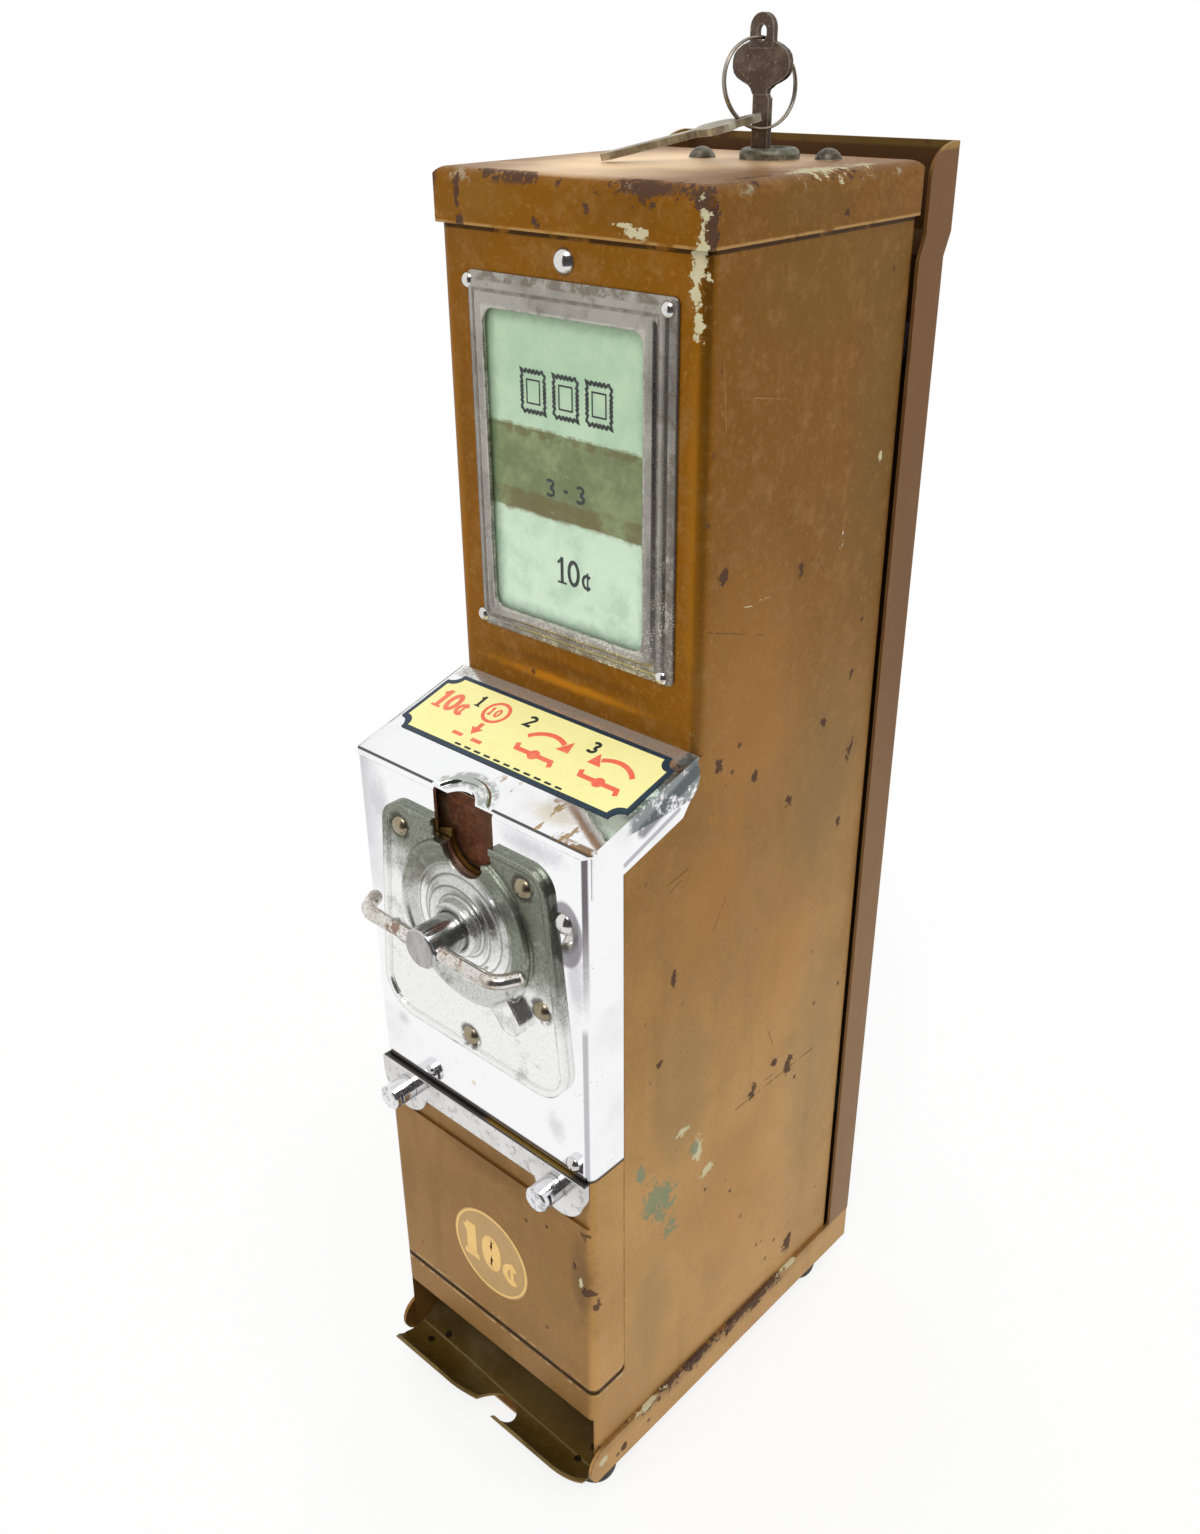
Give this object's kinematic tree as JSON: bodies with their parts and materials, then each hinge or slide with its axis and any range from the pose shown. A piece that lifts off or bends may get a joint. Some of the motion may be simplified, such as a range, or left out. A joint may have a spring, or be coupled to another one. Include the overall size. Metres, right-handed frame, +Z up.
{
  "type": "stamp vending machine",
  "caption": "Counter-top vending machine for folders of stamps: stepped case, display window, turn handle, coin drawer, tray and locked lift-off cap",
  "frame": {"origin": "on the floor, under the middle of the whole machine's footprint", "axes": "+X to the right as seen from the front, +Y from the front to the back, +Z up"},
  "size_m": [0.105, 0.1858, 0.4852],
  "materials": {
    "brown_paint": "worn bronze-brown enamel",
    "channel_paint": "worn reddish brown enamel",
    "chrome_plate": "polished with fine scratches",
    "cast_zinc": "dull pitted casting",
    "nickel": "worn nickel",
    "steel": "dull mill finish",
    "bronze_tray": "dark bronze",
    "brass": "dull brass",
    "rubber": "matt black",
    "window": "clear",
    "card": "matt mint card",
    "paper": "matt cream paper",
    "key_steel": "tarnished",
    "lock_metal": "tarnished die-casting"
  },
  "bodies": {
    "case": {"case_shell": "brown_paint", "base_pan": "brown_paint", "rubber_feet": "rubber", "back_channel": "channel_paint", "rear_spacers": "steel", "channel_screws": "nickel", "window_frame": "nickel", "window_glass": "window", "display_card": "card", "window_screws": "nickel", "sign_screw": "nickel", "shoulder_plate": "chrome_plate", "front_plate": "chrome_plate", "front_plate_screws": "nickel", "coin_plate": "cast_zinc", "coin_plate_rivets": "nickel", "wheel_housing": "cast_zinc", "shaft_bush": "brass", "coin_chute": "steel", "lever_bracket": "steel", "lever_pivot": "steel", "magazine_shelf": "steel", "magazine_rails": "steel", "folder_stack": "paper", "folder_chute": "steel", "delivery_tray": "bronze_tray", "drawer_runners": "steel", "lock_catch": "steel"},
    "handle": {"handle_shaft": "nickel", "handle_bar": "nickel", "coin_wheel": "brass", "crank_disc": "steel", "shaft_nut": "steel"},
    "bell_crank": {"bell_crank": "steel"},
    "ejector": {"ejector": "steel", "bottom_folder": "paper"},
    "follower": {"follower_weight": "cast_zinc"},
    "cap": {"cap": "brown_paint", "cap_rivets": "nickel", "lock_body": "lock_metal", "lock_plate": "steel"},
    "lock": {"lock_plug": "lock_metal", "lock_cam": "steel", "key": "key_steel", "key_ring": "nickel", "spare_key": "key_steel"},
    "coin_drawer": {"drawer_front": "brown_paint", "coin_box": "steel", "latch_strap": "nickel"},
    "left_knob": {"left_latch_knob": "nickel"},
    "right_knob": {"right_latch_knob": "nickel"}
  },
  "joints": [
    {"name": "handle_turn", "type": "hinge", "parent": "case", "child": "handle", "pos_m": [0, -0.0719, 0.2333], "axis": [0, 1, 0], "range_deg": [0, 90]},
    {"name": "bell_crank_swing", "type": "hinge", "parent": "case", "child": "bell_crank", "pos_m": [0, 0.0021, 0.2333], "axis": [-1, 0, 0], "range_deg": [0, 34.94]},
    {"name": "ejector_slide", "type": "slide", "parent": "case", "child": "ejector", "axis": [0, 1, 0], "range_m": [0, 0.03602]},
    {"name": "follower_lift", "type": "slide", "parent": "case", "child": "follower", "axis": [0, 0, 1], "range_m": [0, 0.055]},
    {"name": "cap_lift", "type": "slide", "parent": "case", "child": "cap", "axis": [0, 0, 1], "range_m": [0, 0.06]},
    {"name": "key_turn", "type": "hinge", "parent": "cap", "child": "lock", "pos_m": [0.013, 0.052, 0.447], "axis": [0, 0, 1], "range_deg": [0, 90]},
    {"name": "drawer_slide", "type": "slide", "parent": "case", "child": "coin_drawer", "axis": [0, -1, 0], "range_m": [0, 0.09]},
    {"name": "left_knob_turn", "type": "hinge", "parent": "coin_drawer", "child": "left_knob", "pos_m": [-0.0365, -0.0719, 0.1468], "axis": [0, -1, 0], "range_deg": [0, 90]},
    {"name": "right_knob_turn", "type": "hinge", "parent": "coin_drawer", "child": "right_knob", "pos_m": [0.0365, -0.0719, 0.1468], "axis": [0, 1, 0], "range_deg": [0, 90]}
  ],
  "couplings": [
    {"joint": "bell_crank_swing", "follows": "handle_turn", "ratio": 0.38795},
    {"joint": "ejector_slide", "follows": "handle_turn", "m_per_rad": 0.022918}
  ]
}
